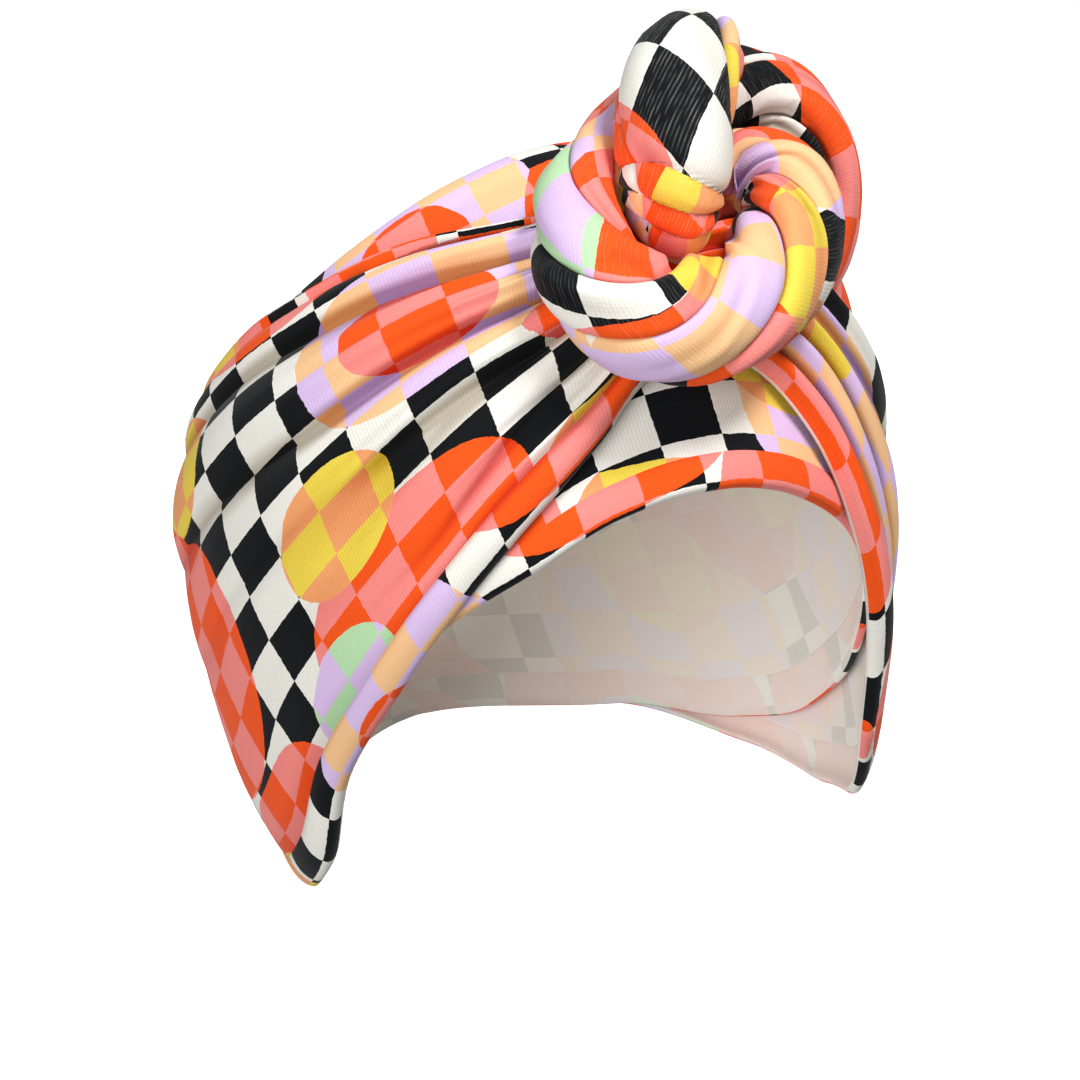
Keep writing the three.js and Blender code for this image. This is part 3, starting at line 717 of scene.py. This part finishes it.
class Graph:
    """Short calls that add nodes to one material."""

    def __init__(self, material):
        self.tree = material.node_tree
        self.nodes, self.links = self.tree.nodes, self.tree.links

    def add(self, kind, inputs=(), **settings):
        node = self.nodes.new(kind)
        for name, value in settings.items():
            setattr(node, name, value)
        for socket, value in dict(inputs).items():
            self.put(node.inputs[socket], value)
        return node

    def put(self, socket, value):
        if isinstance(value, bpy.types.NodeSocket):
            self.links.new(value, socket)
        else:
            socket.default_value = value

    def math(self, operation, a, b=0.0, c=0.0, clamp=False):
        node = self.add("ShaderNodeMath", {0: a, 1: b, 2: c}, operation=operation)
        node.use_clamp = clamp
        return node.outputs[0]

    def mix(self, share, a, b, blend="MIX"):
        node = self.nodes.new("ShaderNodeMix")
        node.data_type = "RGBA"
        node.blend_type = blend
        self.put(node.inputs[0], share)
        self.put(node.inputs[6], a)
        self.put(node.inputs[7], b)
        return node.outputs[2]

    def combine(self, x, y, z=0.0):
        return self.add("ShaderNodeCombineXYZ", {0: x, 1: y, 2: z}).outputs[0]

    def vector(self, operation, a, b):
        return self.add("ShaderNodeVectorMath", {0: a, 1: b}, operation=operation).outputs[0]

    def scale(self, a, factor):
        return self.add("ShaderNodeVectorMath", {0: a, "Scale": factor}, operation="SCALE").outputs[0]

    def noise(self, at, scale, detail):
        return self.add("ShaderNodeTexNoise", {"Vector": at, "Scale": scale, "Detail": detail})


def print_cloth(name, low_strip, high_strip, grin, lips_too=False):
    """Printed jersey. The hem strips reach from the edges to low_strip and from high_strip on, in mm
    across the cloth. grin is how much of the white yarn shows through the dark ink."""
    material = bpy.data.materials.new(name)
    material.use_nodes = True
    g = Graph(material)
    shader = g.nodes["Principled BSDF"]
    uv = g.add("ShaderNodeUVMap", uv_map="cloth").outputs[0]
    split = g.add("ShaderNodeSeparateXYZ", {0: uv})
    s = g.math("MULTIPLY", split.outputs[0], 1 / MM)
    t = g.math("MULTIPLY", split.outputs[1], 1 / MM)

    # a hem strip shows another part of the print
    strip = g.math("MAXIMUM", g.math("LESS_THAN", t, low_strip), g.math("GREATER_THAN", t, high_strip))
    unstretched = g.math("MULTIPLY", s, 1 / PRINT_STRETCH)
    moved_s = g.math("ADD", unstretched, g.math("MULTIPLY", strip, STRIP_AWAY[0]))
    moved_t = g.math("ADD", t, g.math("MULTIPLY", strip, STRIP_AWAY[1]))

    # so does each lip at the foot of the tail
    if lips_too:
        lip = g.math("CEIL", g.add("ShaderNodeAttribute", attribute_name="lip").outputs["Fac"])
        lip = g.math("MAXIMUM", lip, 0.0)
        moved_s = g.math("MULTIPLY_ADD", lip, LIP_AWAY[0], moved_s)
        moved_t = g.math("MULTIPLY_ADD", lip, LIP_AWAY[1], moved_t)
    spot = g.combine(moved_s, moved_t, 0.0)

    # ink spreads a little on the knit, so the printed edges waver
    wobble = g.noise(spot, WOBBLE_SCALE, 2.0).outputs["Color"]
    shift = g.vector("SUBTRACT", wobble, (0.5, 0.5, 0.5))
    inked = g.vector("ADD", spot, g.scale(shift, WOBBLE))
    flat = g.vector("MULTIPLY", inked, (1, 1, 0))
    lifted = g.vector("ADD", g.scale(flat, 1 / CHECK), HALF_A_SQUARE_UP)
    check = g.add("ShaderNodeTexChecker", {"Vector": lifted, "Scale": 1.0}).outputs["Fac"]

    def pair(a, b):
        return g.mix(check, a, b)

    def pebbles(cell, reach, offset, exponent):
        """Rounded patches, at most one in each cell: where they are, and two numbers for each."""
        moved = g.vector("ADD", inked, offset)
        cells = g.add("ShaderNodeTexVoronoi", voronoi_dimensions="2D", distance="MINKOWSKI")
        g.put(cells.inputs["Vector"], moved)
        g.put(cells.inputs["Scale"], 1 / cell)
        g.put(cells.inputs["Randomness"], PEBBLE_SCATTER)
        g.put(cells.inputs["Exponent"], exponent)
        tone = g.add("ShaderNodeSeparateColor", {0: cells.outputs["Color"]})
        inside = g.math("LESS_THAN", cells.outputs["Distance"], reach)
        return inside, tone.outputs[0], tone.outputs[1]

    colour = pair(BLACK, CREAM)
    inside, tone, _ = pebbles(LARGE_CELL, LARGE_REACH, LARGE_PEBBLES_AT, LARGE_SHAPE)
    large = g.mix(g.math("GREATER_THAN", tone, LAVENDER_FROM), pair(ORANGE, SALMON), pair(LAVENDER, PEACH))
    colour = g.mix(inside, colour, large)
    inside, tone, chance = pebbles(SMALL_CELL, SMALL_REACH, SMALL_PEBBLES_AT, SMALL_SHAPE)
    inside = g.math("MULTIPLY", inside, g.math("GREATER_THAN", chance, SMALL_LEFT_OUT))
    small = g.mix(g.math("GREATER_THAN", tone, YELLOW_UNDER), pair(YELLOW, APRICOT), pair(ORANGE, SALMON))
    small = g.mix(g.math("GREATER_THAN", tone, MINT_FROM), small, pair(MINT, LAVENDER))
    colour = g.mix(inside, colour, small)

    # the ribs of the knit cross the bands and the coil, and run along the tail
    over_ribs, along_ribs = (t, s) if lips_too else (s, t)
    rib = g.math("ABSOLUTE", g.math("SINE", g.math("MULTIPLY", over_ribs, math.pi / KNIT_PITCH)))

    # stretched stitches let the white yarn show through the dark ink
    if grin:
        fibre_over = g.math("MULTIPLY", over_ribs, FIBRE_OVER)
        fibre_along = g.math("MULTIPLY", along_ribs, FIBRE_ALONG)
        yarn = g.noise(g.combine(fibre_over, fibre_along), 1.0, 3.0).outputs["Fac"]
        show = g.math("MULTIPLY", g.math("SUBTRACT", yarn, YARN_FROM), YARN_CONTRAST, clamp=True)
        show = g.math("MULTIPLY", show, g.math("MULTIPLY_ADD", rib, YARN_WIDTH, 1.0, clamp=True))
        colour = g.mix(g.math("MULTIPLY", show, grin), colour, CREAM, "LIGHTEN")

    # each rib is a row of loops
    loops = g.math("SINE", g.math("MULTIPLY", along_ribs, 2 * math.pi / (KNIT_PITCH * LOOP_LENGTH)))
    knit = g.math("MULTIPLY", rib, g.math("MULTIPLY_ADD", loops, LOOP_DEPTH, 1 - LOOP_DEPTH))
    fuzz = g.noise(spot, FUZZ_SCALE, 3.0).outputs["Fac"]
    cloudy = g.noise(spot, CLOUD_SCALE, 2.0).outputs["Fac"]
    tint = g.math("MULTIPLY_ADD", knit, TINT_KNIT, TINT_BASE)
    tint = g.math("MULTIPLY_ADD", fuzz, TINT_FUZZ, tint)
    tint = g.math("MULTIPLY_ADD", cloudy, TINT_CLOUD, tint)
    colour = g.mix(1.0, colour, g.combine(tint, tint, tint), "MULTIPLY")

    # painted shade: deep in a fold the colour is darkened and made stronger, standing in for the fold's shade
    # and the cloth's light on itself
    painted_shade_amount = g.add("ShaderNodeAttribute", attribute_name="painted_shade").outputs["Fac"]
    painted_shade_colour = g.mix(1.0, g.mix(1.0, colour, colour, "MULTIPLY"), PAINTED_SHADE_TINT, "MULTIPLY")
    colour = g.mix(g.math("MULTIPLY", painted_shade_amount, PAINTED_SHADE_STRENGTH), colour, painted_shade_colour)

    # the wrong side is unprinted, and the ink shows through it faintly
    wrong_side = g.add("ShaderNodeAttribute", attribute_name="inside").outputs["Fac"]
    wrong_side = g.math("GREATER_THAN", wrong_side, 0.5)
    colour = g.mix(g.math("MULTIPLY", wrong_side, 1 - INK_SHOWS), colour, CREAM)
    g.put(shader.inputs["Base Color"], colour)

    # the seam that holds each hem, as a narrow groove
    groove_low = g.math("ABSOLUTE", g.math("SUBTRACT", t, low_strip))
    groove_high = g.math("ABSOLUTE", g.math("SUBTRACT", t, high_strip))
    groove = g.math("DIVIDE", g.math("MINIMUM", groove_low, groove_high), GROOVE_HALF_WIDTH, clamp=True)
    relief = g.math("MULTIPLY_ADD", knit, RELIEF_KNIT, groove)
    relief = g.math("MULTIPLY_ADD", fuzz, RELIEF_FUZZ, relief)
    bump = g.add("ShaderNodeBump", {"Height": relief, "Strength": BUMP_STRENGTH})
    g.put(bump.inputs["Distance"], BUMP_HEIGHT * MM)
    g.put(shader.inputs["Normal"], bump.outputs[0])
    g.put(shader.inputs["Roughness"], g.math("MULTIPLY_ADD", knit, ROUGHNESS_KNIT, ROUGHNESS))
    shader.inputs["Specular IOR Level"].default_value = SPECULAR
    shader.inputs["Sheen Weight"].default_value = SHEEN
    shader.inputs["Sheen Roughness"].default_value = SHEEN_ROUGHNESS
    return material


# ---------------------------------------------------------------- the pieces

base_cloth = print_cloth("base_band_print", HEM_WIDTH, NO_STRIP, 0.0)
wrap_cloth = print_cloth("wrap_band_print", HEM_WIDTH, WRAP_CLOTH_WIDTH - HEM_WIDTH, 0.0)
coil_cloth = print_cloth("knot_coil_print", -NO_STRIP, NO_STRIP, COIL_GRIN)
tail_cloth = print_cloth("knot_tail_print", -NO_STRIP, NO_STRIP, TAIL_GRIN, lips_too=True)

base_band = make_base_band(base_cloth)
wrap_band = make_wrap_band(wrap_cloth)
coil = rope(
    "knot_coil_cloth",
    COIL,
    COIL_SECTIONS,
    COIL_TURNS,
    upright=KNOT_OUT,
    lobes=COIL_LOBES,
    first_lobe=0,
    slant=COIL_SLANT,
    wrinkled=COIL_WRINKLE,
    foot=False,
    material=coil_cloth,
)
tail = rope(
    "knot_tail_cloth",
    TAIL,
    TAIL_SECTIONS,
    TAIL_TURNS,
    upright=KNOT_RIGHT,
    lobes=TAIL_LOBES,
    first_lobe=TAIL_START,
    slant=TAIL_SLANT,
    wrinkled=TAIL_WRINKLE,
    foot=True,
    material=tail_cloth,
)

pieces = ((base_band, "base_band"), (wrap_band, "wrap_band"), (coil, "knot_coil"), (tail, "knot_tail"))
for piece, node in pieces:
    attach(piece, "root")
    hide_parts(node)

# ---------------------------------------------------------------- the studio

AIM = Vector((1, 0, -1)) * MM
CAMERA_DISTANCE = 0.7
CAMERA_SIDE, CAMERA_HEIGHT = math.radians(-30), math.radians(25)
CAMERA_LENS, CAMERA_SENSOR = 89.4, 36.0
FLOOR_Z, FLOOR_SIDE = -0.6, 8.0
FLOOR_PALE, FLOOR_DIM = (0.9, 0.9, 0.9, 1), (0.16, 0.16, 0.16, 1)
FLOOR_ROUGHNESS = 0.9
PALE_FROM, PALE_BLEND = 0.4, 0.5  # metres behind the headband where the floor is all pale, and the blend
KEY_LIGHT = ((0.3, -0.7, 1.4), 0.4, 21)  # place and size in metres, and watts
FILL_LIGHT = ((-1.3, -0.9, 0.4), 1.2, 21)
BACKDROP_LIGHT = ((0.9, 1.6, 1.2), 2.4, 80)
BACKDROP_TARGET = Vector((1.3, 2.5, FLOOR_Z))
SKY_STRENGTH = 0.14


def floor_material():
    """Pale behind the headband and dim before it, so that little light comes back from below."""
    material = bpy.data.materials.new("studio_floor")
    material.use_nodes = True
    g = Graph(material)
    shader = g.nodes["Principled BSDF"]
    shader.inputs["Roughness"].default_value = FLOOR_ROUGHNESS
    place = g.add("ShaderNodeUVMap", uv_map="UVMap").outputs[0]
    away = (-math.sin(CAMERA_SIDE), math.cos(CAMERA_SIDE), 0)
    reach = g.add("ShaderNodeVectorMath", {0: place, 1: away}, operation="DOT_PRODUCT").outputs["Value"]
    metres = g.math("MULTIPLY", g.math("SUBTRACT", reach, sum(away) / 2), FLOOR_SIDE)
    pale = g.math("MULTIPLY_ADD", metres, 1 / PALE_BLEND, 1 - PALE_FROM / PALE_BLEND, clamp=True)
    g.put(shader.inputs["Base Color"], g.mix(pale, FLOOR_DIM, FLOOR_PALE))
    return material


def look_at(thing, target):
    thing.rotation_euler = (target - thing.location).to_track_quat("-Z", "Y").to_euler()


def make_camera():
    toward = Vector(
        (
            math.sin(CAMERA_SIDE) * math.cos(CAMERA_HEIGHT),
            -math.cos(CAMERA_SIDE) * math.cos(CAMERA_HEIGHT),
            math.sin(CAMERA_HEIGHT),
        )
    )
    data = bpy.data.cameras.new("camera")
    data.lens, data.sensor_width = CAMERA_LENS, CAMERA_SENSOR
    camera = bpy.data.objects.new("camera", data)
    camera.location = AIM + toward * CAMERA_DISTANCE
    look_at(camera, AIM)
    bpy.context.collection.objects.link(camera)
    bpy.context.scene.camera = camera


def make_light(name, location, size, watts, target=AIM):
    data = bpy.data.lights.new(name, "AREA")
    data.shape = "DISK"
    data.size, data.energy = size, watts
    lamp = bpy.data.objects.new(name, data)
    lamp.location = location
    look_at(lamp, target)
    bpy.context.collection.objects.link(lamp)


def make_studio():
    bpy.ops.mesh.primitive_plane_add(size=FLOOR_SIDE, location=(0, 0, FLOOR_Z))
    floor = bpy.context.object
    floor.name = "floor"
    floor.data.materials.append(floor_material())
    world = bpy.data.worlds.new("studio")
    world.use_nodes = True
    background = world.node_tree.nodes["Background"]
    background.inputs[0].default_value = (1, 1, 1, 1)
    background.inputs[1].default_value = SKY_STRENGTH
    bpy.context.scene.world = world
    make_light("key", *KEY_LIGHT)
    make_light("fill", *FILL_LIGHT)
    make_light("backdrop", *BACKDROP_LIGHT, BACKDROP_TARGET)


make_camera()
make_studio()
bpy.context.scene.view_settings.view_transform = "Standard"
